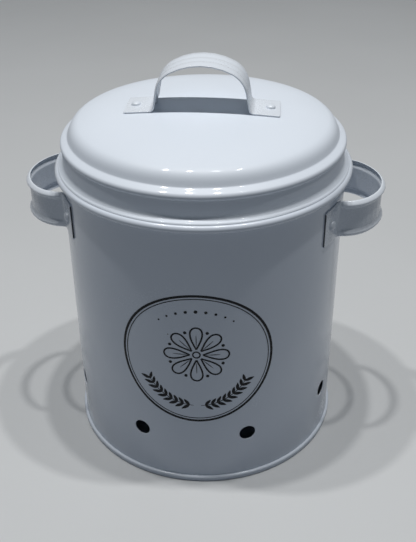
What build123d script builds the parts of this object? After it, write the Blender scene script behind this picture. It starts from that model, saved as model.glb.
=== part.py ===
from build123d import *
import math
import os

# A lidded sheet-steel storage bin for onions, painted in a gloss coat.
# Millimetres. +Z is up, z = 0 is the surface it stands on, and the axis of the bin is the Z axis.
# The front of the bin faces -Y, and the two side handles lie on +X and -X.

# Bin wall: one sheet rolled into a tube, joined by a lock seam at the back
wall_radius = 90.0
wall_sheet = 0.6
wall_foot_height = 1.2
rim_height = 192.5
rim_bead_radius = 2.4
rim_curl_angle = 300.0
seam_width = 6.0
seam_sheets = 1.2
seam_rim_clearance = 4.0

# Vent holes: one row near the bottom, placed between the front and the side handles
vent_count = 8
vent_diameter = 10.8
vent_height = 38.0
vent_first_angle = 22.5

# Bottom: a pan with its edge folded round the foot of the wall, which makes the standing bead
floor_height = 5.0
pan_sheet = 0.6
pan_corner_radius = 1.4
chime_turn_radius = 0.5
chime_flat_width = 1.2
chime_side_radius = 0.9
chime_side_height = 1.6
chime_lip_gap = 0.15

# Side handles: a strap bent into a loop, with a tab at each end that follows the wall
handle_tip_radius = 35.0
handle_tip_turn = 45.0
handle_corner_radius = 22.0
handle_leg_length = 0.5
handle_bend_radius = 3.5
handle_tab_angle = 32.0
handle_rim_distance = 10.5
strap_width = 24.5
strap_sheet = 1.0
strap_edge_bead_radius = 2.5
strap_edge_bead_bulge = 1.9

# Rivets, which all have the same shape
rivet_shank_diameter = 3.2
rivet_hole_clearance = 0.1
rivet_head_diameter = 6.0
rivet_head_height = 2.0
rivet_tail_diameter = 5.0
rivet_tail_height = 1.0
rivet_tail_gap = 0.05
side_rivet_angle = 26.5

# Lid shell: crown, haunch, rounded edge, ledge, shoulder, skirt and flared seat with a folded edge
lid_sheet = 0.6
lid_crown_slope = 5.74
lid_haunch_radius = 90.0
lid_haunch_turn = 11.0
lid_edge_radius = 9.5
lid_edge_slope = 66.0
lid_edge_drop = 3.0
lid_groove_radius = 1.8
lid_ledge_slope = 30.0
lid_ledge_width = 3.4
lid_shoulder_radius = 2.2
lid_shoulder_wrap = 40.0
lid_neck_radius = 1.0
lid_skirt_length = 8.6
lid_flare_radius = 3.1
lid_seat_width = 0.3
lid_hem_radius = 0.35
lid_hem_width = 1.6
lid_seat_gap = 0.15

# Locating collar: a ring inside the lid that drops into the mouth of the bin
collar_sheet = 0.6
collar_drop = 13.0
collar_grip = 9.0
collar_mouth_clearance = 1.58

# Lid handle: a strap bent into an arch, with a foot at each end that lies on the crown
arch_width = 26.0
arch_sheet = 1.0
arch_rise = 29.0
arch_top_radius = 40.0
arch_top_angle = 28.0
arch_side_radius = 16.5
arch_leg_slope = 80.0
arch_bend_radius = 3.0
arch_foot_end_margin = 6.0
arch_rivet_offset = 41.5
arch_ridge_width = 3.4
arch_ridge_rise = 0.6
arch_ridge_spacing = 8.0
arch_ridge_end_gap = 1.0


# A strip of sheet seen edge on. It walks from the start and keeps both faces of the sheet.
# A move is ("line", length) or ("arc", radius, turn), where the turn is in degrees,
# positive to the left. The radius is that of the middle of the sheet.
def strip_face(start, heading, moves, thickness, shift=0.0):
    x, y = start
    direction = math.radians(heading)
    left_edges = []
    right_edges = []
    left_side = shift + thickness / 2
    right_side = shift - thickness / 2

    def beside(px, py, angle, offset):
        return (px - offset * math.sin(angle), py + offset * math.cos(angle))

    first_left = beside(x, y, direction, left_side)
    first_right = beside(x, y, direction, right_side)
    for move in moves:
        if move[0] == "line":
            new_x = x + move[1] * math.cos(direction)
            new_y = y + move[1] * math.sin(direction)
            new_direction = direction
        else:
            radius = move[1]
            turn = math.radians(move[2])
            side = 1.0 if turn > 0 else -1.0
            centre_x = x - side * radius * math.sin(direction)
            centre_y = y + side * radius * math.cos(direction)
            new_direction = direction + turn
            new_x = centre_x + side * radius * math.sin(new_direction)
            new_y = centre_y - side * radius * math.cos(new_direction)
            middle_direction = direction + turn / 2
            middle_x = centre_x + side * radius * math.sin(middle_direction)
            middle_y = centre_y - side * radius * math.cos(middle_direction)
        for edges, offset in ((left_edges, left_side), (right_edges, right_side)):
            a = beside(x, y, direction, offset)
            b = beside(new_x, new_y, new_direction, offset)
            if move[0] == "line":
                edges.append(Line(a, b))
            else:
                m = beside(middle_x, middle_y, middle_direction, offset)
                edges.append(ThreePointArc(a, m, b))
        x, y, direction = new_x, new_y, new_direction
    last_left = beside(x, y, direction, left_side)
    last_right = beside(x, y, direction, right_side)
    caps = [Line(first_left, first_right), Line(last_left, last_right)]
    return make_face(left_edges + right_edges + caps)


# Where a walk ends, and which way it points there
def strip_end(start, heading, moves):
    x, y = start
    direction = math.radians(heading)
    for move in moves:
        if move[0] == "line":
            x += move[1] * math.cos(direction)
            y += move[1] * math.sin(direction)
        else:
            turn = math.radians(move[2])
            side = 1.0 if turn > 0 else -1.0
            new_direction = direction + turn
            x += side * move[1] * (math.sin(new_direction) - math.sin(direction))
            y -= side * move[1] * (math.cos(new_direction) - math.cos(direction))
            direction = new_direction
    return x, y, math.degrees(direction)


# A face drawn as (radius, height) and turned once round the Z axis
def turned(face):
    return revolve(Plane.XZ * face, Axis.Z)


# A hole through the wall, at an angle from the front, counted towards +X
def radial_pin(diameter, angle, height, inner_radius, outer_radius):
    pin = Cylinder(diameter / 2, outer_radius - inner_radius)
    pin = Pos(0, 0, (inner_radius + outer_radius) / 2) * pin
    pin = Rot(90, 0, 0) * pin
    return Pos(0, 0, height) * (Rot(0, 0, angle) * pin)


# Rivet along +Z: domed head above z = 0, shank through the sheets, flat tail below them
def rivet(sheets):
    head_radius = rivet_head_diameter / 2
    shank_radius = rivet_shank_diameter / 2
    tail_radius = rivet_tail_diameter / 2
    tail_top = -sheets - rivet_tail_gap
    tail_bottom = tail_top - rivet_tail_height
    dome_middle = (head_radius * 0.75, rivet_head_height * 0.66)
    edges = [
        ThreePointArc((0, rivet_head_height), dome_middle, (head_radius, 0)),
        Polyline(
            (head_radius, 0),
            (shank_radius, 0),
            (shank_radius, tail_top),
            (tail_radius, tail_top),
            (tail_radius, tail_bottom),
            (0, tail_bottom),
            (0, rivet_head_height),
        ),
    ]
    return turned(make_face(edges))


wall_inner_radius = wall_radius - wall_sheet
wall_middle_radius = wall_radius - wall_sheet / 2
handle_bottom_height = rim_height - handle_rim_distance - strap_width
handle_middle_height = handle_bottom_height + strap_width / 2
tab_middle_radius = wall_radius + strap_sheet / 2
rim_top_height = rim_height + rim_bead_radius


def make_bin_wall():
    curl_radius = rim_bead_radius - wall_sheet / 2
    foot = (wall_middle_radius, wall_foot_height)
    moves = [
        ("line", rim_height - wall_foot_height),
        ("arc", curl_radius, -rim_curl_angle),
    ]
    wall = turned(strip_face(foot, 90, moves, wall_sheet))
    seam_half_angle = math.degrees(seam_width / 2 / wall_radius)
    seam_start_angle = math.radians(90 - seam_half_angle)
    seam_radius = wall_radius + seam_sheets / 2
    seam_start = (
        seam_radius * math.cos(seam_start_angle),
        seam_radius * math.sin(seam_start_angle),
    )
    seam_bottom = floor_height + wall_foot_height
    seam_top = rim_height - rim_bead_radius - seam_rim_clearance
    seam_moves = [("arc", seam_radius, 2 * seam_half_angle)]
    seam = strip_face(seam_start, 180 - seam_half_angle, seam_moves, seam_sheets + wall_sheet)
    seam = Pos(0, 0, seam_bottom) * extrude(seam, seam_top - seam_bottom)
    wall = wall + seam
    for index in range(vent_count):
        angle = vent_first_angle + index * 360 / vent_count
        wall -= radial_pin(vent_diameter, angle, vent_height, wall_radius / 2, wall_radius * 1.5)
    for angle in side_rivet_angles():
        wall -= rivet_hole(angle)
    return wall


# Angles from the front of the four side rivets: right pair first, then left pair
def side_rivet_angles():
    right = [90 - side_rivet_angle, 90 + side_rivet_angle]
    left = [270 - side_rivet_angle, 270 + side_rivet_angle]
    return right + left


def rivet_hole(angle):
    hole = rivet_shank_diameter + rivet_hole_clearance
    return radial_pin(hole, angle, handle_middle_height, wall_radius / 2, wall_radius * 1.5)


# The pan's edge goes down inside the wall, under its foot and up on the outside
def make_base_pan():
    inner_leg_radius = wall_inner_radius - pan_sheet / 2
    floor_middle = floor_height - pan_sheet / 2
    bottom_middle = pan_sheet / 2
    leg_length = floor_middle - pan_corner_radius - bottom_middle - chime_turn_radius
    chime_side_start = inner_leg_radius + chime_turn_radius + chime_flat_width
    moves = [
        ("line", inner_leg_radius - pan_corner_radius),
        ("arc", pan_corner_radius, -90),
        ("line", leg_length),
        ("arc", chime_turn_radius, 90),
        ("line", chime_flat_width),
        ("arc", chime_side_radius, 90),
        ("line", chime_side_height),
        ("arc", chime_side_radius, 90),
        ("line", chime_side_start - wall_radius - chime_lip_gap),
    ]
    return turned(strip_face((0, floor_middle), 0, moves, pan_sheet))


# Plan of a side handle: half a walk from the loop's far point to the end of the tab
def side_handle_moves():
    turn = math.radians(handle_tip_turn)
    half_width = handle_tip_radius * math.sin(turn) + handle_corner_radius * (1 - math.sin(turn))
    depth = handle_tip_radius * (1 - math.cos(turn)) + handle_corner_radius * math.cos(turn)
    bend_distance = tab_middle_radius + handle_bend_radius
    bend_side = half_width + handle_bend_radius
    bend_forward = math.sqrt(bend_distance**2 - bend_side**2)
    bend_angle = math.degrees(math.atan2(bend_side, bend_forward))
    reach = bend_forward + handle_leg_length + depth
    loop_moves = [
        ("arc", handle_tip_radius, handle_tip_turn),
        ("arc", handle_corner_radius, 90 - handle_tip_turn),
        ("line", handle_leg_length),
    ]
    tab_moves = [
        ("arc", handle_bend_radius, -(90 - bend_angle)),
        ("arc", tab_middle_radius, handle_tab_angle - bend_angle),
    ]
    return (reach, 0), loop_moves, tab_moves


# One side handle on the +X side: both halves of the loop, with the beads on its two edges
def make_side_handle(hole_angles):
    start, loop_moves, tab_moves = side_handle_moves()
    flat = strip_face(start, 90, loop_moves + tab_moves, strap_sheet)
    half = extrude(flat, strap_width)
    bead_width = 2 * strap_edge_bead_radius
    steps = 3
    for index in range(steps):
        # each step is narrower and stands further out, which rounds the bead
        share = (index + 1) / steps
        rise = strap_edge_bead_bulge * math.sin(share * math.pi / 2)
        width = bead_width * math.cos((share - 1 / steps) * math.pi / 2)
        thickness = strap_sheet + rise
        layer = strip_face(start, 90, loop_moves, thickness, -rise / 2)
        layer = extrude(layer, width)
        low = (bead_width - width) / 2
        half += Pos(0, 0, low) * layer
        half += Pos(0, 0, strap_width - bead_width + low) * layer
    handle = half + mirror(half, Plane.XZ)
    handle = Pos(0, 0, handle_bottom_height) * handle
    for angle in hole_angles:
        handle -= rivet_hole(angle)
    return handle


# A side rivet: head on the tab, tail inside the wall
def make_side_rivet(angle):
    body = rivet(wall_sheet + strap_sheet)
    body = Pos(0, 0, wall_radius + strap_sheet) * body
    body = Rot(90, 0, 0) * body
    return Pos(0, 0, handle_middle_height) * (Rot(0, 0, angle) * body)


lid_seat_height = rim_top_height + lid_seat_gap
lid_flange_middle = lid_seat_height + lid_sheet / 2 + 2 * lid_hem_radius
collar_outer_radius = wall_inner_radius - collar_mouth_clearance
skirt_middle_radius = collar_outer_radius + lid_sheet / 2


# The lid's section from the edge of the crown to the top of the skirt
def lid_side_moves():
    haunch_slope = lid_crown_slope + lid_haunch_turn
    return [
        ("arc", lid_haunch_radius, -lid_haunch_turn),
        ("arc", lid_edge_radius, -(lid_edge_slope - haunch_slope)),
        ("line", lid_edge_drop),
        ("arc", lid_groove_radius, lid_edge_slope - lid_ledge_slope),
        ("line", lid_ledge_width),
        ("arc", lid_shoulder_radius, -(90 - lid_ledge_slope + lid_shoulder_wrap)),
        ("arc", lid_neck_radius, lid_shoulder_wrap),
    ]


# The crown spans what the lid's side leaves of the skirt's width. Both are of its outer side.
def lid_crown():
    side_width, side_height, _ = strip_end((0, 0), -lid_crown_slope, lid_side_moves())
    slope = math.radians(lid_crown_slope)
    middle_radius = (skirt_middle_radius - side_width) / math.sin(slope)
    skirt_top = lid_flange_middle + lid_flare_radius + lid_skirt_length
    middle_height = skirt_top - side_height + middle_radius * (1 - math.cos(slope))
    return middle_radius + lid_sheet / 2, middle_height + lid_sheet / 2


lid_crown_radius, lid_crown_height = lid_crown()


# The whole section, from the middle of the crown out to the folded edge of the seat
def lid_moves():
    crown = [("arc", lid_crown_radius - lid_sheet / 2, -lid_crown_slope)]
    lower = [
        ("line", lid_skirt_length),
        ("arc", lid_flare_radius, 90),
        ("line", lid_seat_width),
        ("arc", lid_hem_radius, -180),
        ("line", lid_hem_width),
    ]
    return (0, lid_crown_height - lid_sheet / 2), crown + lid_side_moves() + lower


def make_lid_shell():
    start, moves = lid_moves()
    shell = turned(strip_face(start, 0, moves, lid_sheet))
    hole = rivet_shank_diameter + rivet_hole_clearance
    for side in (1, -1):
        shell -= lid_rivet_place(side) * Cylinder(hole / 2, 8 * lid_sheet)
    return shell


# The collar sits against the inside of the skirt
def make_lid_collar():
    outer = collar_outer_radius
    inner = outer - collar_sheet
    bottom = rim_top_height - collar_drop
    top = lid_flange_middle + collar_grip
    collar = Cylinder(outer, top - bottom) - Cylinder(inner, top - bottom)
    return Pos(0, 0, (top + bottom) / 2) * collar


# Place on the crown where a rivet goes through, with its axis square to the surface
def lid_rivet_place(side):
    slope = math.degrees(math.asin(arch_rivet_offset / lid_crown_radius))
    height = lid_crown_height - lid_crown_radius * (1 - math.cos(math.radians(slope)))
    return Pos(side * arch_rivet_offset, 0, height) * Rot(0, side * slope, 0)


# The arch from the middle of its top to the end of one foot, which touches the crown
def arch_moves():
    slope = math.degrees(math.asin(arch_rivet_offset / lid_crown_radius))
    upper = [
        ("arc", arch_top_radius, -arch_top_angle),
        ("arc", arch_side_radius, -(arch_leg_slope - arch_top_angle)),
    ]
    start = (0, lid_crown_height + arch_rise - arch_sheet / 2)
    bend = ("arc", arch_bend_radius, arch_leg_slope - slope)
    leg_x, leg_z, _ = strip_end(start, 0, upper)
    bend_x, bend_z, _ = strip_end((leg_x, leg_z), -arch_leg_slope, [bend])
    sine = math.sin(math.radians(slope))
    cosine = math.cos(math.radians(slope))
    crown_z = lid_crown_height - lid_crown_radius * (1 - cosine)
    # the leg is as long as brings the foot's underside onto the crown at the rivet
    gap = (bend_x - arch_rivet_offset) * sine + (bend_z - crown_z) * cosine - arch_sheet / 2
    leg_drop = math.sin(math.radians(arch_leg_slope - slope))
    leg = gap / leg_drop
    leg_cosine = math.cos(math.radians(arch_leg_slope))
    foot_start = bend_x + leg * leg_cosine
    foot = (arch_rivet_offset - foot_start) / cosine + arch_foot_end_margin
    return start, upper + [("line", leg)], [bend, ("line", foot)]


def make_lid_handle():
    start, arch, foot = arch_moves()
    flat = strip_face(start, 0, arch + foot, arch_sheet)
    half = Plane.XZ * flat
    half = extrude(half, arch_width / 2, both=True)
    ridge_arch = arch[:-1] + [("line", arch[-1][1] - arch_ridge_end_gap)]
    thickness = arch_sheet + arch_ridge_rise
    ridge_face = Plane.XZ * strip_face(start, 0, ridge_arch, thickness, arch_ridge_rise / 2)
    for place in (-arch_ridge_spacing, 0, arch_ridge_spacing):
        ridge = extrude(ridge_face, arch_ridge_width / 2, both=True)
        half += Pos(0, place, 0) * ridge
    handle = half + mirror(half, Plane.YZ)
    hole = rivet_shank_diameter + rivet_hole_clearance
    for side in (1, -1):
        handle -= lid_rivet_place(side) * Cylinder(hole / 2, 6 * arch_sheet)
    return handle


def make_lid_rivet(side):
    body = rivet(lid_sheet + arch_sheet)
    return lid_rivet_place(side) * (Pos(0, 0, arch_sheet) * body)


def main():
    os.makedirs("parts", exist_ok=True)
    angles = side_rivet_angles()
    right_handle = make_side_handle(angles[:2])
    left_handle = Rot(0, 0, 180) * right_handle
    nodes = {
        "bin_wall": make_bin_wall(),
        "base_pan": make_base_pan(),
        "side_handle_right": right_handle,
        "side_handle_left": left_handle,
        "side_rivet_right_front": make_side_rivet(angles[0]),
        "side_rivet_right_back": make_side_rivet(angles[1]),
        "side_rivet_left_back": make_side_rivet(angles[2]),
        "side_rivet_left_front": make_side_rivet(angles[3]),
        "lid_shell": make_lid_shell(),
        "lid_collar": make_lid_collar(),
        "lid_handle": make_lid_handle(),
        "lid_rivet_right": make_lid_rivet(1),
        "lid_rivet_left": make_lid_rivet(-1),
    }
    for name, shape in nodes.items():
        export_step(shape, f"parts/{name}.step")
        box = shape.bounding_box()
        print(name, "volume", round(shape.volume, 1), "low", box.min, "high", box.max)


main()
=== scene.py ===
import math
import bmesh
import bpy
from mathutils import Matrix, Vector


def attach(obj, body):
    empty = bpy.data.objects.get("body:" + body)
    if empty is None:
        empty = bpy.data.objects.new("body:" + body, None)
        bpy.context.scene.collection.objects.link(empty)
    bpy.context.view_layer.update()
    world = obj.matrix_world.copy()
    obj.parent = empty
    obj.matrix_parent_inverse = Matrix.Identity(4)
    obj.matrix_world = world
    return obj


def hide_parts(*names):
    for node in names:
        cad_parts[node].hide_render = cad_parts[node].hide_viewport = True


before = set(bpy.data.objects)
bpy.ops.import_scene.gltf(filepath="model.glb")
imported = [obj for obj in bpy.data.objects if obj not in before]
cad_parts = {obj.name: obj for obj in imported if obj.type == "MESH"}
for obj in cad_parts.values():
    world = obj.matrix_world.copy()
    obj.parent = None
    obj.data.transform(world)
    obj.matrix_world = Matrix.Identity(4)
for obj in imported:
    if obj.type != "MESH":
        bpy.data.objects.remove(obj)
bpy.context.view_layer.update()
print("frame loaded:", len(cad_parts), "nodes")

# lengths are in millimetres and angles in degrees, unless a note says otherwise
mm = 0.001

for world in list(bpy.data.worlds):
    bpy.data.worlds.remove(world)
scene = bpy.context.scene


def addObject(name, data):
    added = bpy.data.objects.new(name, data)
    scene.collection.objects.link(added)
    return added


def shares(count):
    return [n / count for n in range(count + 1)]  # even steps from 0 to 1


def newGroup(name, inputs, outputs):
    group = bpy.data.node_groups.new(name, "ShaderNodeTree")
    for label, kind, value in inputs:
        socket = group.interface.new_socket(label, in_out="INPUT", socket_type=kind)
        socket.default_value = value
    for label, kind in outputs:
        group.interface.new_socket(label, in_out="OUTPUT", socket_type=kind)
    return group, group.nodes.new("NodeGroupInput"), group.nodes.new("NodeGroupOutput")


def feed(tree, value, socket):
    # a plain number or colour is set on the socket, anything else is linked to it
    if isinstance(value, (int, float, tuple)):
        socket.default_value = value
    else:
        tree.links.new(value, socket)


def mathNode(tree, operation, a, b, clamp=False):
    node = tree.nodes.new("ShaderNodeMath")
    node.operation = operation
    node.use_clamp = clamp
    feed(tree, a, node.inputs[0])
    feed(tree, b, node.inputs[1])
    return node.outputs[0]


def noiseNode(tree, coords, scale, detail=2.0, roughness=0.5):
    node = tree.nodes.new("ShaderNodeTexNoise")
    node.inputs["Detail"].default_value = detail
    node.inputs["Roughness"].default_value = roughness
    tree.links.new(coords, node.inputs["Vector"])
    feed(tree, scale, node.inputs["Scale"])
    return node.outputs["Fac"]


def rangeNode(tree, value, low, high, outLow=0.0, outHigh=1.0):
    node = tree.nodes.new("ShaderNodeMapRange")
    node.inputs["From Min"].default_value = low
    node.inputs["From Max"].default_value = high
    node.inputs["To Min"].default_value = outLow
    node.inputs["To Max"].default_value = outHigh
    tree.links.new(value, node.inputs["Value"])
    return node.outputs["Result"]


def mixColor(tree, factor, a, b):
    node = tree.nodes.new("ShaderNodeMix")
    node.data_type = "RGBA"
    feed(tree, factor, node.inputs[0])
    feed(tree, a, node.inputs[6])
    feed(tree, b, node.inputs[7])
    return node.outputs[2]


def swing(tree, noise, amount):
    # noise from 0 to 1 becomes a swing about zero
    return mathNode(tree, "MULTIPLY", mathNode(tree, "SUBTRACT", noise, 0.5), amount)


coatDetail = {
    "cloudScale": 14.0, "cloudDetail": 3.0, "grainScale": 900.0, "rippleDetail": 1.0,
    "rippleRoughness": 0.4, "haze": 0.16, "grit": 0.06, "grainHeight": 0.04,
}


def makeCoatGroup():
    # sprayed gloss coat: soft mottling of the colour, flow ripple in the surface, fine grain
    group, inside, outside = newGroup(
        "sprayedCoat",
        [
            ("Color", "NodeSocketColor", (0.8, 0.8, 0.8, 1.0)),
            ("Mottle", "NodeSocketFloat", 0.03),
            ("Ripple Scale", "NodeSocketFloat", 260.0),
            ("Ripple", "NodeSocketFloat", 0.5),
            ("Roughness", "NodeSocketFloat", 0.2),
        ],
        [
            ("Color", "NodeSocketColor"),
            ("Roughness", "NodeSocketFloat"),
            ("Height", "NodeSocketFloat"),
        ],
    )
    coords = group.nodes.new("ShaderNodeTexCoord").outputs["Object"]
    cloud = noiseNode(group, coords, coatDetail["cloudScale"], coatDetail["cloudDetail"])
    grain = noiseNode(group, coords, coatDetail["grainScale"])
    ripple = noiseNode(
        group, coords, inside.outputs["Ripple Scale"],
        coatDetail["rippleDetail"], coatDetail["rippleRoughness"],
    )
    hsv = group.nodes.new("ShaderNodeHueSaturation")
    value = mathNode(group, "ADD", swing(group, cloud, inside.outputs["Mottle"]), 1.0)
    group.links.new(value, hsv.inputs["Value"])
    group.links.new(inside.outputs["Color"], hsv.inputs["Color"])
    group.links.new(hsv.outputs["Color"], outside.inputs["Color"])
    hazy = mathNode(group, "ADD", inside.outputs["Roughness"], swing(group, cloud, coatDetail["haze"]))
    rough = mathNode(group, "ADD", hazy, swing(group, grain, coatDetail["grit"]), clamp=True)
    group.links.new(rough, outside.inputs["Roughness"])
    waves = mathNode(group, "MULTIPLY", ripple, inside.outputs["Ripple"])
    height = mathNode(group, "ADD", waves, mathNode(group, "MULTIPLY", grain, coatDetail["grainHeight"]))
    group.links.new(height, outside.inputs["Height"])
    return group


speckDetail = {"core": 0.02, "rim": 0.045}  # in cells of the speck pattern


def makeSpeckGroup():
    # dust caught in the coat, as sparse dark specks
    group, inside, outside = newGroup(
        "coatSpecks",
        [
            ("Color", "NodeSocketColor", (0.8, 0.8, 0.8, 1.0)),
            ("Speck Color", "NodeSocketColor", (0.25, 0.24, 0.23, 1.0)),
            ("Scale", "NodeSocketFloat", 60.0),
            ("Amount", "NodeSocketFloat", 0.06),
        ],
        [("Color", "NodeSocketColor")],
    )
    coords = group.nodes.new("ShaderNodeTexCoord").outputs["Object"]
    cells = group.nodes.new("ShaderNodeTexVoronoi")
    cells.feature = "F1"
    group.links.new(coords, cells.inputs["Vector"])
    group.links.new(inside.outputs["Scale"], cells.inputs["Scale"])
    near = rangeNode(group, cells.outputs["Distance"], speckDetail["core"], speckDetail["rim"], 1.0, 0.0)
    pick = group.nodes.new("ShaderNodeSeparateColor")
    group.links.new(cells.outputs["Color"], pick.inputs["Color"])
    chosen = mathNode(group, "LESS_THAN", pick.outputs["Red"], inside.outputs["Amount"])
    mask = mathNode(group, "MULTIPLY", near, chosen)
    mixed = mixColor(group, mask, inside.outputs["Color"], inside.outputs["Speck Color"])
    group.links.new(mixed, outside.inputs["Color"])
    return group


edgeDetail = {
    "breakupScale": 320.0, "breakupDetail": 3.0, "breakupLow": 0.42, "breakupHigh": 0.62,
    "sharpLow": 0.54, "sharpHigh": 0.62,
}


def makeEdgeGroup():
    # paint pulled thin over folded and cut edges, where the steel shows through grey
    group, inside, outside = newGroup(
        "thinEdge",
        [
            ("Color", "NodeSocketColor", (0.8, 0.8, 0.8, 1.0)),
            ("Edge Color", "NodeSocketColor", (0.35, 0.36, 0.38, 1.0)),
            ("Wear", "NodeSocketFloat", 0.3),
        ],
        [("Color", "NodeSocketColor")],
    )
    coords = group.nodes.new("ShaderNodeTexCoord").outputs["Object"]
    noise = noiseNode(group, coords, edgeDetail["breakupScale"], edgeDetail["breakupDetail"])
    breakup = rangeNode(group, noise, edgeDetail["breakupLow"], edgeDetail["breakupHigh"])
    point = group.nodes.new("ShaderNodeNewGeometry").outputs["Pointiness"]
    sharp = rangeNode(group, point, edgeDetail["sharpLow"], edgeDetail["sharpHigh"])
    worn = mathNode(group, "MULTIPLY", sharp, breakup)
    mask = mathNode(group, "MULTIPLY", worn, inside.outputs["Wear"], clamp=True)
    mixed = mixColor(group, mask, inside.outputs["Color"], inside.outputs["Edge Color"])
    group.links.new(mixed, outside.inputs["Color"])
    return group


coatGroup = makeCoatGroup()
speckGroup = makeSpeckGroup()
edgeGroup = makeEdgeGroup()


def newMaterial(name):
    material = bpy.data.materials.new(name)
    material.use_nodes = True
    return material, material.node_tree, material.node_tree.nodes["Principled BSDF"]


def placeGroup(tree, group, values):
    node = tree.nodes.new("ShaderNodeGroup")
    node.node_tree = group
    for label, value in values.items():
        node.inputs[label].default_value = value
    return node


def addBump(tree, shader, height, strength, distance):
    bump = tree.nodes.new("ShaderNodeBump")
    bump.inputs["Strength"].default_value = strength
    bump.inputs["Distance"].default_value = distance
    tree.links.new(height, bump.inputs["Height"])
    tree.links.new(bump.outputs["Normal"], shader.inputs["Normal"])


glossPaint = {"ior": 1.5, "coatRoughness": 0.06, "bumpDistance": 0.0004}  # bump in metres


def makeGlossPaint(name, look):
    material, tree, shader = newMaterial(name)
    coat = placeGroup(tree, coatGroup, {
        "Color": (*look["color"], 1.0), "Mottle": look["mottle"], "Ripple Scale": look["rippleScale"],
        "Ripple": look["ripple"], "Roughness": look["roughness"],
    })
    specks = placeGroup(tree, speckGroup, {"Scale": look["speckScale"], "Amount": look["speckAmount"]})
    edge = placeGroup(tree, edgeGroup, {"Wear": look["wear"]})
    tree.links.new(coat.outputs["Color"], specks.inputs["Color"])
    tree.links.new(specks.outputs["Color"], edge.inputs["Color"])
    tree.links.new(edge.outputs["Color"], shader.inputs["Base Color"])
    tree.links.new(coat.outputs["Roughness"], shader.inputs["Roughness"])
    addBump(tree, shader, coat.outputs["Height"], look["bump"], glossPaint["bumpDistance"])
    shader.inputs["IOR"].default_value = glossPaint["ior"]
    shader.inputs["Coat Weight"].default_value = look["coat"]
    shader.inputs["Coat Roughness"].default_value = glossPaint["coatRoughness"]
    return material


binPaint = makeGlossPaint("coolWhiteBinPaint", {
    "color": (0.73, 0.785, 0.86), "mottle": 0.05, "rippleScale": 210.0, "ripple": 0.6, "roughness": 0.24,
    "speckScale": 70.0, "speckAmount": 0.03, "wear": 0.25, "bump": 0.18, "coat": 0.35,
})
lidPaint = makeGlossPaint("coolWhiteLidPaint", {
    "color": (0.755, 0.81, 0.88), "mottle": 0.04, "rippleScale": 180.0, "ripple": 0.6, "roughness": 0.5,
    "speckScale": 55.0, "speckAmount": 0.05, "wear": 0.2, "bump": 0.08, "coat": 0.25,
})
strapPaint = makeGlossPaint("coolWhiteStrapPaint", {
    "color": (0.74, 0.785, 0.84), "mottle": 0.06, "rippleScale": 320.0, "ripple": 0.8, "roughness": 0.27,
    "speckScale": 120.0, "speckAmount": 0.04, "wear": 0.4, "bump": 0.22, "coat": 0.3,
})
# painted shade: a near-black paint for the strap end faces, standing in for the shadow in the gap at
# each end
paintedShadeEndPaint = makeGlossPaint("paintedShadeEnds", {
    "color": (0.06, 0.068, 0.08), "mottle": 0.3, "rippleScale": 700.0, "ripple": 1.0, "roughness": 0.5,
    "speckScale": 300.0, "speckAmount": 0.1, "wear": 0.2, "bump": 0.4, "coat": 0.0,
})
rivetPaint = makeGlossPaint("coolWhiteRivetPaint", {
    "color": (0.74, 0.785, 0.84), "mottle": 0.08, "rippleScale": 500.0, "ripple": 1.0, "roughness": 0.3,
    "speckScale": 300.0, "speckAmount": 0.02, "wear": 0.5, "bump": 0.3, "coat": 0.3,
})

inkLook = {
    "full": (0.006, 0.007, 0.009), "thin": (0.016, 0.017, 0.02),
    "coverScale": 1400.0, "coverDetail": 3.0, "coverLow": 0.3, "coverHigh": 0.75,
    "glossScale": 500.0, "glossLow": 0.2, "glossHigh": 0.8, "smooth": 0.4, "rough": 0.55,
    "specular": 0.15, "bump": 0.1, "bumpDistance": 0.0001,
}


def makeInk():
    material, tree, shader = newMaterial("screenPrintInk")
    coords = tree.nodes.new("ShaderNodeTexCoord").outputs["Object"]
    coverNoise = noiseNode(tree, coords, inkLook["coverScale"], inkLook["coverDetail"])
    cover = rangeNode(tree, coverNoise, inkLook["coverLow"], inkLook["coverHigh"])
    tone = mixColor(tree, cover, (*inkLook["thin"], 1.0), (*inkLook["full"], 1.0))
    tree.links.new(tone, shader.inputs["Base Color"])
    gloss = rangeNode(
        tree, noiseNode(tree, coords, inkLook["glossScale"]),
        inkLook["glossLow"], inkLook["glossHigh"], inkLook["smooth"], inkLook["rough"],
    )
    tree.links.new(gloss, shader.inputs["Roughness"])
    shader.inputs["Specular IOR Level"].default_value = inkLook["specular"]
    addBump(tree, shader, cover, inkLook["bump"], inkLook["bumpDistance"])
    return material


inkMaterial = makeInk()
print("materials ready")

arcSteps = {"least": 3, "angle": 9.0, "length": 6.0}


def walk(start, heading, moves):
    # follows ("line", length, finest step) and ("arc", radius, turn to the left), and gives each
    # point with the direction to its left
    x, y = start
    direction = math.radians(heading)
    points = [(x, y, -math.sin(direction), math.cos(direction))]
    for move in moves:
        if move[0] == "line":
            steps = max(1, int(move[1] / move[2])) if len(move) > 2 else 1
            for index in range(1, steps + 1):
                px = x + move[1] * index / steps * math.cos(direction)
                py = y + move[1] * index / steps * math.sin(direction)
                points.append((px, py, -math.sin(direction), math.cos(direction)))
        else:
            radius, turn = move[1], math.radians(move[2])
            side = 1.0 if turn > 0 else -1.0
            centreX = x - side * radius * math.sin(direction)
            centreY = y + side * radius * math.cos(direction)
            byAngle = int(abs(turn) / math.radians(arcSteps["angle"]))
            steps = max(arcSteps["least"], byAngle, int(abs(turn) * radius / arcSteps["length"]))
            for index in range(1, steps + 1):
                now = direction + turn * index / steps
                px = centreX + side * radius * math.sin(now)
                py = centreY - side * radius * math.cos(now)
                points.append((px, py, -math.sin(now), math.cos(now)))
            direction += turn
        x, y = points[-1][:2]
    return points


def sheetSides(points, thickness):
    # the two faces of a sheet, left and right of its middle line
    left = [(x + nx * thickness / 2, y + ny * thickness / 2) for x, y, nx, ny in points]
    right = [(x - nx * thickness / 2, y - ny * thickness / 2) for x, y, nx, ny in points]
    return left, right


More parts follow.
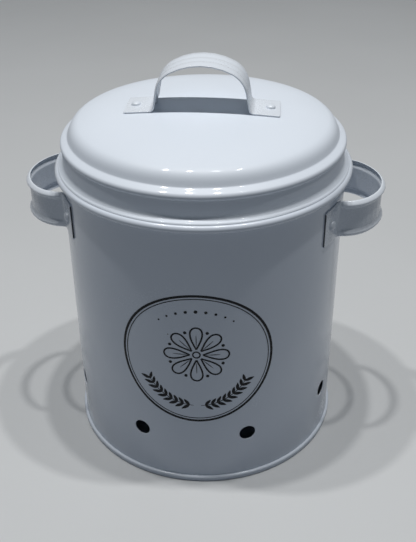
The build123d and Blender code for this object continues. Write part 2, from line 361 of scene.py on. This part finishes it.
def bridge(rings, faces):
    # quads from each closed ring of vertices to the next, or triangles where a ring is one vertex
    for ring, nextRing in zip(rings, rings[1:]):
        for index in range(len(ring)):
            after = (index + 1) % len(ring)
            corners = [ring[index], ring[after], nextRing[after], nextRing[index]]
            corners = [c for n, c in enumerate(corners) if c != corners[n - 1]]
            if len(corners) > 2:
                faces.append(corners)


def finishMesh(name, vertices, faces, material, sharp):
    mesh = bpy.data.meshes.new(name)
    mesh.from_pydata([(x * mm, y * mm, z * mm) for x, y, z in vertices], [], faces)
    mesh.update()
    mesh.shade_smooth()
    mesh.set_sharp_from_angle(angle=math.radians(sharp))
    mesh.materials.append(material)
    work = bmesh.new()
    work.from_mesh(mesh)
    bmesh.ops.recalc_face_normals(work, faces=work.faces)
    work.to_mesh(mesh)
    work.free()
    return addObject(name, mesh)


def lathe(name, outline, material, segments, sharp=42.0, place=None):
    # turns a closed outline of (radius, height) round Z; points on the axis become one vertex
    vertices, rings = [], []
    for radius, height in outline:
        first = len(vertices)
        if math.isclose(radius, 0.0, abs_tol=1e-6):
            rings.append([first] * segments)
            vertices.append((0.0, 0.0, height))
        else:
            rings.append([first + index for index in range(segments)])
            for index in range(segments):
                angle = 2 * math.pi * index / segments
                vertices.append((radius * math.sin(angle), -radius * math.cos(angle), height))
    faces = []
    bridge(rings + rings[:1], faces)
    if place is not None:
        vertices = [tuple(place @ Vector(v)) for v in vertices]
    return finishMesh(name, vertices, faces, material, sharp)


def polar(radius, angle, height):
    # the angle is counted from the front towards +X
    turn = math.radians(angle)
    return (radius * math.sin(turn), -radius * math.cos(turn), height)


wall = {
    "radius": 90.0, "sheet": 0.6, "foot": 1.2, "rimHeight": 192.5, "rimBead": 2.4, "rimCurl": 300.0,
    "ventCount": 8, "ventDiameter": 10.8, "ventHeight": 38.0, "ventAngle": 22.5,
    # rings of a vent's lip: how far outside the hole's edge, and how deep in the sheet
    "ventLip": [
        (2.6, 0.0), (1.2, 0.0), (0.45, 0.0), (0.16, 0.03), (0.03, 0.12), (0.0, 0.3), (0.03, 0.5),
        (0.3, 0.6), (2.0, 0.6),
    ],
    # faces of the grid: round the wall for each vent, across a vent's patch, below and above it
    "gridAround": 42, "gridPatch": 12, "gridBelow": 6, "gridAbove": 24, "sharp": 50.0,
}


def makeWall():
    around, patch = wall["gridAround"], wall["gridPatch"]
    columns, half = around * wall["ventCount"], patch // 2
    step = 360.0 / columns
    cell = math.radians(step) * wall["radius"]
    outer, inner = wall["radius"], wall["radius"] - wall["sheet"]
    band = [wall["ventHeight"] + (row - half) * cell for row in range(patch + 1)]
    below = [wall["foot"] + (band[0] - wall["foot"]) * t for t in shares(wall["gridBelow"])[:-1]]
    above = [band[-1] + (wall["rimHeight"] - band[-1]) * t for t in shares(wall["gridAbove"])[1:]]
    heights = below + band + above
    curl = ("arc", wall["rimBead"] - wall["sheet"] / 2, -wall["rimCurl"])
    rim = walk((outer - wall["sheet"] / 2, wall["rimHeight"]), 90, [curl])
    left, right = sheetSides(rim[1:], wall["sheet"])
    profile = [(outer, z) for z in heights] + right + left[::-1] + [(inner, z) for z in heights[::-1]]
    vertices, faces = [], []
    for radius, height in profile:
        for column in range(columns):
            vertices.append(polar(radius, wall["ventAngle"] + (column - half) * step, height))
    rows = len(profile)
    outerBand = range(len(below), len(below) + patch)
    innerBand = range(rows - len(below) - patch - 1, rows - len(below) - 1)
    for row in range(rows):
        here, there = row * columns, (row + 1) % rows * columns
        for column in range(columns):
            if column % around < patch and (row in outerBand or row in innerBand):
                continue
            after = (column + 1) % columns
            faces.append((here + column, here + after, there + after, there + column))
    # each vent's rings run from the square patch in to the round hole, and on to the patch inside
    square = [(n, 0) for n in range(patch)] + [(patch, n) for n in range(patch)]
    square += [(patch - n, patch) for n in range(patch)] + [(0, patch - n) for n in range(patch)]
    for vent in range(wall["ventCount"]):
        middle = wall["ventAngle"] + vent * 360.0 / wall["ventCount"]
        loops = [[(outerBand.start + r) * columns + vent * around + c for c, r in square]]
        for grow, depth in wall["ventLip"]:
            ringRadius, reach = wall["ventDiameter"] / 2 + grow, outer - depth
            loops.append([])
            for c, r in square:
                angle = math.atan2(r - half, c - half)
                across = math.degrees(ringRadius * math.cos(angle) / reach)
                height = wall["ventHeight"] + ringRadius * math.sin(angle)
                loops[-1].append(len(vertices))
                vertices.append(polar(reach, middle + across, height))
        loops.append([(rows - 1 - outerBand.start - r) * columns + vent * around + c for c, r in square])
        bridge(loops, faces)
    return finishMesh("binWall", vertices, faces, binPaint, wall["sharp"])


seam = {
    "width": 6.0, "rise": 1.2, "bottom": 6.2, "top": 186.0, "rows": 30, "endSink": 0.9, "embed": 0.25,
    "foot": [(-0.25, -0.2), (-0.1, 0.05), (0.0, 0.4), (0.15, 0.85)],  # in from the edge, and up
    "softness": 1.0, "softDrop": 0.05, "sharp": 60.0,
}


def makeSeam():
    # lock seam at the back: a low flat fold with a soft shoulder on each side
    half = seam["width"] / 2
    section = [(x - half, y) for x, y in seam["foot"]]
    section += [(seam["softness"] / 2 - half, seam["rise"] - seam["softDrop"])]
    section += [(seam["softness"] - half, seam["rise"]), (0, seam["rise"])]
    section += [(-x, y) for x, y in section[-2::-1]]
    count = len(section)
    vertices, faces = [], []
    for t in shares(seam["rows"]):
        height = seam["bottom"] + (seam["top"] - seam["bottom"]) * t
        sink = seam["endSink"] if t in (0, 1) else 0.0
        for x, rise in section:
            angle = 180 + math.degrees(x / wall["radius"])
            vertices.append(polar(wall["radius"] + max(rise - sink, -seam["embed"]), angle, height))
    for row in range(seam["rows"]):
        for index in range(count - 1):
            a = row * count + index
            faces.append((a, a + 1, a + 1 + count, a + count))
    return finishMesh("wallSeam", vertices, faces, binPaint, seam["sharp"])


wallPiece = makeWall()
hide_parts("bin_wall")
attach(wallPiece, "bin")
seamPiece = makeSeam()
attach(seamPiece, "bin")
print("bin wall done")

pan = {
    "sheet": 0.6, "floorHeight": 5.0, "cornerRadius": 1.4, "footRadius": 0.5, "footFlat": 1.2,
    "sideRadius": 0.9, "sideHeight": 1.6, "lipGap": 0.15, "floorStep": 6.0, "segments": 288,
}


def makePan():
    # from the middle of the floor down to the foot, and up round the wall's lower edge
    inner = wall["radius"] - wall["sheet"] - pan["sheet"] / 2
    middle = pan["floorHeight"] - pan["sheet"] / 2
    sideStart = inner + pan["footRadius"] + pan["footFlat"]
    points = walk((0, middle), 0, [
        ("line", inner - pan["cornerRadius"], pan["floorStep"]), ("arc", pan["cornerRadius"], -90),
        ("line", middle - pan["cornerRadius"] - pan["sheet"] / 2 - pan["footRadius"]),
        ("arc", pan["footRadius"], 90), ("line", pan["footFlat"]), ("arc", pan["sideRadius"], 90),
        ("line", pan["sideHeight"]), ("arc", pan["sideRadius"], 90),
        ("line", sideStart - wall["radius"] - pan["lipGap"]),
    ])
    left, right = sheetSides(points, pan["sheet"])
    return lathe("bottomPan", left + right[::-1], binPaint, pan["segments"])


panPiece = makePan()
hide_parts("base_pan")
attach(panPiece, "bin")
print("bottom pan done")

lid = {
    "sheet": 0.6, "crownSlope": 5.74, "haunchRadius": 90.0, "haunchTurn": 11.0, "edgeRadius": 9.5,
    "edgeSlope": 66.0, "edgeDrop": 3.0, "grooveRadius": 1.8, "ledgeSlope": 30.0, "ledgeWidth": 3.4,
    "shoulderRadius": 2.2, "wrap": 40.0, "neckRadius": 1.0, "skirtLength": 8.6, "flareRadius": 3.1,
    "flareTurn": 70.0, "seatReach": 3.95, "seatGap": 0.15, "hem": 0.35, "edgeLift": 0.02,
    "featherPoints": 5, "featherShare": 0.85, "sideStep": 1.0, "skirtStep": 1.5, "flareStep": 0.25,
    "segments": 320,
}
collar = {
    "sheet": 0.6, "mouthClearance": 1.58, "drop": 13.0, "grip": 9.0,
    "edge": [(0.0, 3.0), (0.0, 0.3), (0.1, 0.08)],  # easing of the lower edge: in, and up
}
rimTop = wall["rimHeight"] + wall["rimBead"]
flangeMiddle = rimTop + lid["seatGap"] + lid["sheet"] / 2 + 2 * lid["hem"]
collarRadius = wall["radius"] - wall["sheet"] - collar["mouthClearance"]


def lidSideMoves():
    haunchSlope = lid["crownSlope"] + lid["haunchTurn"]
    return [
        ("arc", lid["haunchRadius"], -lid["haunchTurn"]),
        ("arc", lid["edgeRadius"], -(lid["edgeSlope"] - haunchSlope)),
        ("line", lid["edgeDrop"], lid["sideStep"]),
        ("arc", lid["grooveRadius"], lid["edgeSlope"] - lid["ledgeSlope"]),
        ("line", lid["ledgeWidth"], lid["sideStep"]),
        ("arc", lid["shoulderRadius"], -(90 - lid["ledgeSlope"] + lid["wrap"])),
        ("arc", lid["neckRadius"], lid["wrap"]),
    ]


def lidCrown():
    # the crown spans what the lid's side leaves of the skirt's width
    sideEnd = walk((0, 0), -lid["crownSlope"], lidSideMoves())[-1]
    slope = math.radians(lid["crownSlope"])
    radius = (collarRadius + lid["sheet"] / 2 - sideEnd[0]) / math.sin(slope)
    skirtTop = flangeMiddle + lid["flareRadius"] + lid["skirtLength"]
    height = skirtTop - sideEnd[1] + radius * (1 - math.cos(slope))
    return radius + lid["sheet"] / 2, height + lid["sheet"] / 2


crownRadius, crownHeight = lidCrown()


def makeLidShell():
    # the painted sheet flares softly out of the skirt and dips onto the rim, with no step at its edge
    turn = math.radians(lid["flareTurn"])
    lineAcross = lid["seatReach"] - lid["flareRadius"] * (1 - math.cos(turn))
    flareDrop = lid["flareRadius"] * math.sin(turn) + lineAcross / math.tan(turn)
    drop = lid["flareRadius"] + lid["skirtLength"] + 2 * lid["hem"] - flareDrop - lid["edgeLift"]
    moves = [("arc", crownRadius - lid["sheet"] / 2, -lid["crownSlope"])] + lidSideMoves()
    moves += [("line", drop, lid["skirtStep"]), ("arc", lid["flareRadius"], lid["flareTurn"])]
    moves += [("line", lineAcross / math.sin(turn), lid["flareStep"])]
    points = walk((0, crownHeight - lid["sheet"] / 2), 0, moves)
    left, right = sheetSides(points, lid["sheet"])
    count = lid["featherPoints"]
    for back in range(1, count + 1):  # the top face feathers down to the seat
        share = lid["featherShare"] * ((count + 1 - back) / count) ** 2
        upper, under = left[-back], right[-back]
        left[-back] = tuple(high + (low - high) * share for high, low in zip(upper, under))
    return lathe("lidShell", left + right[::-1], lidPaint, lid["segments"])


def makeCollar():
    outer, inner = collarRadius, collarRadius - collar["sheet"]
    bottom, top = rimTop - collar["drop"], flangeMiddle + collar["grip"]
    outline = [(outer, top)] + [(outer - x, bottom + z) for x, z in collar["edge"]]
    outline += [(outer - collar["sheet"] / 2, bottom)]
    outline += [(inner + x, bottom + z) for x, z in collar["edge"][::-1]] + [(inner, top)]
    return lathe("lidCollar", outline, lidPaint, lid["segments"])


lidPiece = makeLidShell()
collarPiece = makeCollar()
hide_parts("lid_shell")
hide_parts("lid_collar")
for piece in (lidPiece, collarPiece):
    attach(piece, "lid")
print("lid done")

# how a strap's long edges are eased: shares of its thickness, and of the inset for cornerInset
strapEdge = {"inset": 0.42, "cornerInset": 0.3, "cornerHeight": 0.36, "sharp": 50.0}


def makeStrap(name, strap, path, bulge, place):
    # lofts a strap along a path; bulge(v, length, total) presses the sheet outwards, with v from
    # -1 to 1 across the strap and length counted from its start
    lengths = [0.0]
    for a, b in zip(path, path[1:]):
        lengths.append(lengths[-1] + math.hypot(b[0] - a[0], b[1] - a[1]))
    total, sheet, halfWidth = lengths[-1], strap["sheet"], strap["width"] / 2
    edge = sheet * strapEdge["inset"]
    vertices, faces, rings = [], [], []
    for (x, y, nx, ny), length in zip(path, lengths):
        fromEnd, reach = min(length, total - length), halfWidth
        if fromEnd < strap["endRadius"]:  # the ends have rounded corners
            inside = strap["endRadius"] - fromEnd
            reach -= strap["endRadius"] - math.sqrt(max(0.0, strap["endRadius"] ** 2 - inside ** 2))
        corner, up = reach - edge * strapEdge["cornerInset"], sheet * strapEdge["cornerHeight"]
        section = [((2 * t - 1) * (reach - edge), sheet / 2) for t in shares(strap["facesAcross"])]
        section += [(corner, up), (reach, 0.0), (corner, -up)]
        section += [(-w, -side) for w, side in section]
        rings.append([len(vertices) + index for index in range(len(section))])
        for w, side in section:
            out = side + bulge(w / halfWidth, length, total)
            vertices.append(place(x + nx * out, y + ny * out, w))
    bridge(rings, faces)
    faces += [rings[0][::-1], rings[-1]]
    piece = finishMesh(name, vertices, faces, strapPaint, strapEdge["sharp"])
    # painted shade: the sheared ends are drawn near black, as the shadow in the gap at each strap's end,
    # and read as dark lines
    piece.data.materials.append(paintedShadeEndPaint)
    for number in (len(faces) - 2, len(faces) - 1):
        piece.data.polygons[number].material_index = 1
    return piece


def ease(value):
    value = min(1.0, max(0.0, value))
    return value * value * (3 - 2 * value)


sideHandle = {
    "width": 24.5, "sheet": 1.0, "tipRadius": 35.0, "tipTurn": 45.0, "cornerRadius": 22.0,
    "legLength": 0.5, "bendRadius": 3.5, "tabAngle": 32.0, "rimDistance": 10.5,
    "beadWidth": 5.0, "beadRise": 1.85, "beadPower": 1.3, "beadAngle": 20.5, "beadFade": 7.0,
    "endRadius": 1.2, "facesAcross": 44, "pathStep": 0.7,
}
handleMiddle = wall["rimHeight"] - sideHandle["rimDistance"] - sideHandle["width"] / 2


def sideHandlePath():
    tabRadius = wall["radius"] + sideHandle["sheet"] / 2
    tip, tipTurn, corner = (sideHandle[key] for key in ("tipRadius", "tipTurn", "cornerRadius"))
    bend, leg = sideHandle["bendRadius"], sideHandle["legLength"]
    turn = math.radians(tipTurn)
    side = tip * math.sin(turn) + corner * (1 - math.sin(turn)) + bend
    depth = tip * (1 - math.cos(turn)) + corner * math.cos(turn)
    forward = math.sqrt((tabRadius + bend) ** 2 - side ** 2)
    bendAngle = math.degrees(math.atan2(side, forward))
    half = walk((forward + leg + depth, 0), 90, [
        ("arc", tip, tipTurn), ("arc", corner, 90 - tipTurn), ("line", leg),
        ("arc", bend, -(90 - bendAngle)), ("arc", tabRadius, sideHandle["tabAngle"] - bendAngle),
    ])
    path = [(x, -y, nx, -ny) for x, y, nx, ny in half[:0:-1]] + half
    # extra points, for the beads and the rounded corners of the tabs
    fine = []
    for a, b in zip(path, path[1:]):
        count = max(1, int(math.hypot(b[0] - a[0], b[1] - a[1]) / sideHandle["pathStep"]))
        for t in shares(count)[:-1]:
            fine.append([p * (1 - t) + q * t for p, q in zip(a, b)])
    # normals point away from the wall
    return [(x, y, -nx, -ny) for x, y, nx, ny in fine + [path[-1]]]


def sideBulge(v, length, total):
    # a bead along each edge, which dies out before the rivets
    fromEdge = (1 - abs(v)) * sideHandle["width"] / 2
    middle = sideHandle["beadWidth"] / 2
    aside = min(1.0, abs(fromEdge - middle) / middle)
    swell = math.cos(aside * math.pi / 2) ** sideHandle["beadPower"]
    tab = math.radians(sideHandle["tabAngle"] - sideHandle["beadAngle"]) * wall["radius"]
    fade = ease((min(length, total - length) - tab) / sideHandle["beadFade"])
    return sideHandle["beadRise"] * swell * fade


def makeSideHandle(name, side):
    def place(x, y, w):
        return (side * x, side * y, handleMiddle + w)

    return makeStrap(name, sideHandle, sideHandlePath(), sideBulge, place)


for name, node, side in (
    ("sideHandleRight", "side_handle_right", 1), ("sideHandleLeft", "side_handle_left", -1),
):
    piece = makeSideHandle(name, side)
    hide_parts(node)
    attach(piece, "bin")
print("side handles done")

arch = {
    "width": 26.0, "sheet": 1.0, "rise": 29.0, "topRadius": 40.0, "topAngle": 28.0, "sideRadius": 16.5,
    "legSlope": 80.0, "bendRadius": 3.0, "footEnd": 6.0, "rivetAt": 41.5,
    "ridgeRise": 0.55, "ridgeSpacing": 8.0, "ridgeReach": 0.42, "ridgePower": 0.8,
    "ridgeLead": 1.0, "ridgeFade": 4.0, "legStep": 0.8, "endLength": 2.0, "endStep": 0.1,
    "endRadius": 0.8, "facesAcross": 60,
}
footSlope = math.asin(arch["rivetAt"] / crownRadius)
footHeight = crownHeight - crownRadius * (1 - math.cos(footSlope))  # of the crown under a rivet


def crownPlace(side):
    place = Matrix.Translation((side * arch["rivetAt"], 0, footHeight))
    return place @ Matrix.Rotation(side * footSlope, 4, "Y")


def archPath():
    # the leg is as long as it has to be for its foot to lie flat on the crown
    legSlope, sheet = math.radians(arch["legSlope"]), arch["sheet"]
    start = (0, crownHeight + arch["rise"] - sheet / 2)
    upper = [
        ("arc", arch["topRadius"], -arch["topAngle"]),
        ("arc", arch["sideRadius"], -(arch["legSlope"] - arch["topAngle"])),
    ]
    bend = ("arc", arch["bendRadius"], arch["legSlope"] - math.degrees(footSlope))
    leg = walk(start, 0, upper)[-1]
    bendEnd = walk(leg[:2], -arch["legSlope"], [bend])[-1]
    across = (bendEnd[0] - arch["rivetAt"]) * math.sin(footSlope)
    gap = across + (bendEnd[1] - footHeight) * math.cos(footSlope) - sheet / 2
    legLength = gap / math.sin(legSlope - footSlope)
    footStart = bendEnd[0] + legLength * math.cos(legSlope)
    foot = (arch["rivetAt"] - footStart) / math.cos(footSlope) + arch["footEnd"]
    half = walk(start, 0, upper + [
        ("line", legLength, arch["legStep"]), bend, ("line", foot - arch["endLength"], arch["legStep"]),
        ("line", arch["endLength"], arch["endStep"]),
    ])
    other = [(-x, y, -nx, ny) for x, y, nx, ny in half[:0:-1]]
    return other + half, foot + legSlope * arch["bendRadius"]


archPoints, archFoot = archPath()


def archBulge(v, length, total):
    # three soft ridges pressed along the strap, which die out at the bends
    across = v * arch["width"] / 2
    fromEnd = min(length, total - length)
    fade = ease((fromEnd - archFoot + arch["ridgeLead"]) / arch["ridgeFade"])
    swell = 0.0
    for ridge in (-arch["ridgeSpacing"], 0.0, arch["ridgeSpacing"]):
        near = abs(across - ridge) / (arch["ridgeSpacing"] * arch["ridgeReach"])
        if near < 1:
            swell = max(swell, math.cos(near * math.pi / 2) ** arch["ridgePower"])
    return arch["ridgeRise"] * swell * fade


def placeArch(x, z, w):
    return (x, w, z)


handlePiece = makeStrap("lidHandle", arch, archPoints, archBulge, placeArch)
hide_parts("lid_handle")
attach(handlePiece, "lid")
print("lid handle done")

rivet = {
    "shank": 3.2, "head": 6.0, "headHeight": 2.0, "headEdge": 0.25, "domePower": 0.9, "domeRows": 8,
    "tail": 5.0, "tailHeight": 1.0, "tailGap": 0.05, "tailTop": 0.2, "tailRise": 0.3, "tailTurn": 0.35,
    "sideAngle": 26.5, "segments": 40, "sharp": 50.0,
}


def rivetOutline(sheets):
    # a domed head, a shank through the sheets and a flat tail with eased edges
    head, shank, tail = rivet["head"] / 2, rivet["shank"] / 2, rivet["tail"] / 2
    top = -sheets - rivet["tailGap"]
    low = top - rivet["tailHeight"]
    outline = []
    for t in shares(rivet["domeRows"]):
        rise = math.cos(t * math.pi / 2) ** rivet["domePower"]
        height = rivet["headEdge"] + (rivet["headHeight"] - rivet["headEdge"]) * rise
        outline.append((head * math.sin(t * math.pi / 2), height))
    outline += [(head, 0.0), (shank, 0.0), (shank, top), (tail - rivet["tailTop"], top)]
    outline += [(tail, top - rivet["tailTop"]), (tail, low + rivet["tailRise"])]
    return outline + [(tail - rivet["tailTurn"], low), (0, low)]


def makeRivet(name, node, place, sheets, body):
    piece = lathe(name, rivetOutline(sheets), rivetPaint, rivet["segments"], rivet["sharp"], place)
    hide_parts(node)
    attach(piece, body)


def makeRivets():
    upright = Matrix.Rotation(math.radians(90), 4, "X")
    outward = Matrix.Translation((0, 0, wall["radius"] + sideHandle["sheet"]))
    for label, node, angle in (
        ("RightFront", "right_front", 90 - rivet["sideAngle"]),
        ("RightBack", "right_back", 90 + rivet["sideAngle"]),
        ("LeftBack", "left_back", 270 - rivet["sideAngle"]),
        ("LeftFront", "left_front", 270 + rivet["sideAngle"]),
    ):
        turn = Matrix.Rotation(math.radians(angle), 4, "Z")
        place = Matrix.Translation((0, 0, handleMiddle)) @ turn @ upright @ outward
        sheets = wall["sheet"] + sideHandle["sheet"]
        makeRivet("sideRivet" + label, "side_rivet_" + node, place, sheets, "bin")
    for label, node, side in (("Right", "right", 1), ("Left", "left", -1)):
        place = crownPlace(side) @ Matrix.Translation((0, 0, arch["sheet"]))
        makeRivet("lidRivet" + label, "lid_rivet_" + node, place, lid["sheet"] + arch["sheet"], "lid")


makeRivets()
print("rivets done")

# the print is drawn flat, as strips between two lines of points, and wrapped on the wall
roundel = {
    "turn": 1.8, "height": 99.9, "radius": 48.3, "ringWidth": 1.6, "innerRadius": 45.4,
    "innerWidth": 0.55, "ink": 0.08, "lift": 0.015, "facesAcross": 4, "sharp": 60.0,
}
rosette = {
    "height": 5.0, "petals": 8, "petalStart": 4.0, "petalLength": 16.0, "petalWidth": 7.4,
    "strokeWidth": 1.05, "petalSteps": 32, "ribStart": 6.0, "ribLength": 8.5, "ribWidth": 0.5,
    "ribTaper": 0.8, "ribSteps": 8, "dotRadius": 0.55, "dotWidth": 1.0, "dotInset": 2.5, "dotSteps": 16,
    "eyeRadius": 2.2, "eyeWidth": 0.9, "eyeSteps": 40,
}
sprig = {
    "radius": 35.0, "stemStart": 4, "stemTurn": 58, "stemWidth": 0.55, "stemTaper": 0.5, "stemSteps": 24,
    "leaves": 9, "firstLeaf": 8, "leafSpacing": 6.4, "leafSteps": 16,
    "leafLean": 0.75,  # in radians
    "outerLeaf": (6.4, 2.3), "innerLeaf": (5.6, 2.1),  # length and width
    "leafPower": 0.75, "leafBase": 1.15, "leafTaper": 0.4, "leafTip": 0.02,
}
dotRow = {
    "radius": 36.5, "eachSide": 4, "spacing": 9.5, "size": 1.15, "shrink": 0.14, "fill": 0.98,
    "steps": 20,
}


def onCircle(radius, angle, centre=(0, 0)):
    return (centre[0] + radius * math.cos(angle), centre[1] + radius * math.sin(angle))


def ringStrip(radius, width, centre=(0, 0), steps=180):
    angles = [2 * math.pi * t for t in shares(steps)]
    sides = (radius + width / 2, radius - width / 2)
    return [[onCircle(side, angle, centre) for angle in angles] for side in sides]


def strokeStrip(line, width, taper=0.0):
    left, right = [], []
    for index, (x, y) in enumerate(line):
        before, after = line[max(0, index - 1)], line[min(len(line) - 1, index + 1)]
        dx, dy = after[0] - before[0], after[1] - before[1]
        t = index / (len(line) - 1)
        w = width / 2 * (1 - taper * (2 * t - 1) ** 2) / math.hypot(dx, dy)
        left.append((x - dy * w, y + dx * w))
        right.append((x + dy * w, y - dx * w))
    return left, right


def leafStrip(base, heading, length, width):
    left, right = [], []
    for t in shares(sprig["leafSteps"]):
        x, y = onCircle(length * t, heading, base)
        swell = math.sin(math.pi * t) ** sprig["leafPower"]
        w = width / 2 * swell * (sprig["leafBase"] - sprig["leafTaper"] * t) + sprig["leafTip"]
        left.append((x - math.sin(heading) * w, y + math.cos(heading) * w))
        right.append((x + math.sin(heading) * w, y - math.cos(heading) * w))
    return left, right


def rosetteStrips():
    def spot(along, side, heading):
        x, y = onCircle(along, heading, (0, rosette["height"]))
        return (x - side * math.sin(heading), y + side * math.cos(heading))

    strips = []
    start, count = rosette["petalStart"], rosette["petals"]
    for n in range(count):
        heading = math.pi / 2 + 2 * math.pi * n / count
        petal = []
        for t in shares(rosette["petalSteps"]):
            along = start + rosette["petalLength"] * math.sin(math.pi * t)
            petal.append(spot(along, rosette["petalWidth"] / 2 * math.sin(2 * math.pi * t), heading))
        strips.append(strokeStrip(petal, rosette["strokeWidth"]))
        steps = shares(rosette["ribSteps"])
        rib = [spot(rosette["ribStart"] + rosette["ribLength"] * t, 0, heading) for t in steps]
        strips.append(strokeStrip(rib, rosette["ribWidth"], rosette["ribTaper"]))
        centre = spot(start + rosette["petalLength"] - rosette["dotInset"], 0, heading + math.pi / count)
        strips.append(ringStrip(rosette["dotRadius"], rosette["dotWidth"], centre, rosette["dotSteps"]))
    eye = (0, rosette["height"])
    return strips + [ringStrip(rosette["eyeRadius"], rosette["eyeWidth"], eye, rosette["eyeSteps"])]


def sprigStrips():
    # a sprig on each side along the foot of the roundel
    strips = []
    for side in (-1, 1):
        stem = []
        for t in shares(sprig["stemSteps"]):
            angle = math.radians(270 + side * (sprig["stemStart"] + sprig["stemTurn"] * t))
            stem.append(onCircle(sprig["radius"], angle))
        strips.append(strokeStrip(stem, sprig["stemWidth"], sprig["stemTaper"]))
        for leaf in range(sprig["leaves"]):
            angle = math.radians(270 + side * (sprig["firstLeaf"] + sprig["leafSpacing"] * leaf))
            base, along = onCircle(sprig["radius"], angle), angle + side * math.pi / 2
            strips.append(leafStrip(base, along - side * sprig["leafLean"], *sprig["outerLeaf"]))
            strips.append(leafStrip(base, along + side * sprig["leafLean"], *sprig["innerLeaf"]))
    return strips


def dotStrips():
    strips = []
    for k in range(-dotRow["eachSide"], dotRow["eachSide"] + 1):
        centre = onCircle(dotRow["radius"], math.radians(90 - dotRow["spacing"] * k))
        size = dotRow["size"] - dotRow["shrink"] * abs(k)
        strips.append(ringStrip(size / 2, size * dotRow["fill"], centre, dotRow["steps"]))
    return strips


def makeRoundel():
    across = roundel["facesAcross"]
    strips = [
        ringStrip(roundel["radius"] - roundel["ringWidth"] / 2, roundel["ringWidth"]),
        ringStrip(roundel["innerRadius"], roundel["innerWidth"]),
    ]
    vertices, faces = [], []
    for left, right in strips + rosetteStrips() + sprigStrips() + dotStrips():
        first = len(vertices)
        for a, b in zip(left, right):
            for t in shares(across):
                u, v = (p * (1 - t) + q * t for p, q in zip(a, b))
                angle = roundel["turn"] + math.degrees(u / wall["radius"])
                vertices.append(polar(wall["radius"] + roundel["lift"], angle, roundel["height"] + v))
        for index in range(len(left) - 1):
            for n in range(across):
                a = first + index * (across + 1) + n
                faces.append((a, a + 1, a + across + 2, a + across + 1))
    piece = finishMesh("frontRoundel", vertices, faces, inkMaterial, roundel["sharp"])
    solid = piece.modifiers.new("inkFilm", "SOLIDIFY")
    solid.thickness = roundel["ink"] * mm
    solid.offset = 1.0
    return piece


roundelPiece = makeRoundel()
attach(roundelPiece, "bin")
print("roundel done")


def seenDirectly(tree):
    # 1 for the camera, mirror images and views through glass, 0 for the light thrown on the object
    ray = tree.nodes.new("ShaderNodeLightPath")
    seen = mathNode(tree, "MAXIMUM", ray.outputs["Is Camera Ray"], ray.outputs["Is Glossy Ray"])
    return mathNode(tree, "MAXIMUM", seen, ray.outputs["Is Transmission Ray"])


# floor, lamps and camera are in metres
floor = {
    "color": (0.66, 0.67, 0.67), "bounce": (0.28, 0.3, 0.335), "size": 3.0, "roughness": 0.5,
    "cloudScale": 5.0, "cloudDetail": 4.0, "cloudLow": 0.3, "cloudHigh": 0.7, "cloudShade": 0.965,
}


def makeFloor():
    material, tree, shader = newMaterial("paleFloor")
    coords = tree.nodes.new("ShaderNodeTexCoord").outputs["Object"]
    noise = noiseNode(tree, coords, floor["cloudScale"], floor["cloudDetail"])
    cloud = rangeNode(tree, noise, floor["cloudLow"], floor["cloudHigh"])
    low = tuple(c * floor["cloudShade"] for c in floor["color"])
    pale = mixColor(tree, cloud, (*low, 1.0), (*floor["color"], 1.0))
    shown = mixColor(tree, seenDirectly(tree), (*floor["bounce"], 1.0), pale)
    tree.links.new(shown, shader.inputs["Base Color"])
    shader.inputs["Roughness"].default_value = floor["roughness"]
    half = floor["size"] / 2
    corners = [(-half, -half, 0), (half, -half, 0), (half, half, 0), (-half, half, 0)]
    mesh = bpy.data.meshes.new("floor")
    mesh.from_pydata(corners, [], [(0, 1, 2, 3)])
    mesh.materials.append(material)
    plane = addObject("floor", mesh)


makeFloor()

light = {
    "worldColor": (0.68, 0.83, 1.0), "worldStrength": 0.075, "backdrop": (0.33, 0.34, 0.35),
    "lampCount": 4, "lampSpacing": 0.35, "lampHeight": 2.0, "lampFront": 0.05, "lampSize": 0.07,
    "lampPower": 7.7, "aimHeight": 0.15,
}


def makeLights():
    world = bpy.data.worlds.new("studio")
    scene.world = world
    world.use_nodes = True
    tree = world.node_tree
    back = tree.nodes["Background"]
    dim = tuple(c * light["worldStrength"] for c in light["worldColor"])
    shown = mixColor(tree, seenDirectly(tree), (*dim, 1.0), (*light["backdrop"], 1.0))
    tree.links.new(shown, back.inputs["Color"])
    back.inputs["Strength"].default_value = 1.0
    for index in range(light["lampCount"]):
        lamp = bpy.data.lights.new("ceilingLamp" + str(index + 1), "AREA")
        lamp.shape = "DISK"
        lamp.size = light["lampSize"]
        lamp.energy = light["lampPower"]
        holder = addObject(lamp.name, lamp)
        x = (index - (light["lampCount"] - 1) / 2) * light["lampSpacing"]
        holder.location = (x, -light["lampFront"], light["lampHeight"])
        aim = Vector((0, 0, light["aimHeight"])) - holder.location
        holder.rotation_euler = aim.to_track_quat("-Z", "Y").to_euler()


makeLights()

view = {
    "azimuth": 5.5, "distance": 0.48344, "height": 0.41092, "pitch": 32.04, "yaw": 0.246, "roll": -0.556,
    "focal": 822.63, "frameHeight": 542,  # in pixels
    "sensor": 36.0,  # in millimetres
    "clipStart": 0.01,
}


def makeCamera():
    data = bpy.data.cameras.new("photoView")
    data.sensor_fit = "AUTO"
    data.sensor_width = view["sensor"]
    data.lens = view["focal"] / view["frameHeight"] * view["sensor"]
    data.clip_start = view["clipStart"]
    camera = addObject("photoView", data)
    pitch, yaw, roll = (math.radians(view[key]) for key in ("pitch", "yaw", "roll"))
    flat = math.cos(pitch)
    ahead = Vector((math.sin(yaw) * flat, math.cos(yaw) * flat, -math.sin(pitch)))
    right = ahead.cross(Vector((0, 0, 1))).normalized()
    up = right.cross(ahead)
    tiltedRight = math.cos(roll) * right + math.sin(roll) * up
    tiltedUp = -math.sin(roll) * right + math.cos(roll) * up
    turn = Matrix((tiltedRight, tiltedUp, -ahead)).transposed().to_4x4()
    place = Matrix.Translation((0, -view["distance"], view["height"])) @ turn
    camera.matrix_world = Matrix.Rotation(math.radians(view["azimuth"]), 4, "Z") @ place
    scene.camera = camera


makeCamera()
scene.view_settings.view_transform = "Standard"
print("floor, lights and camera done")
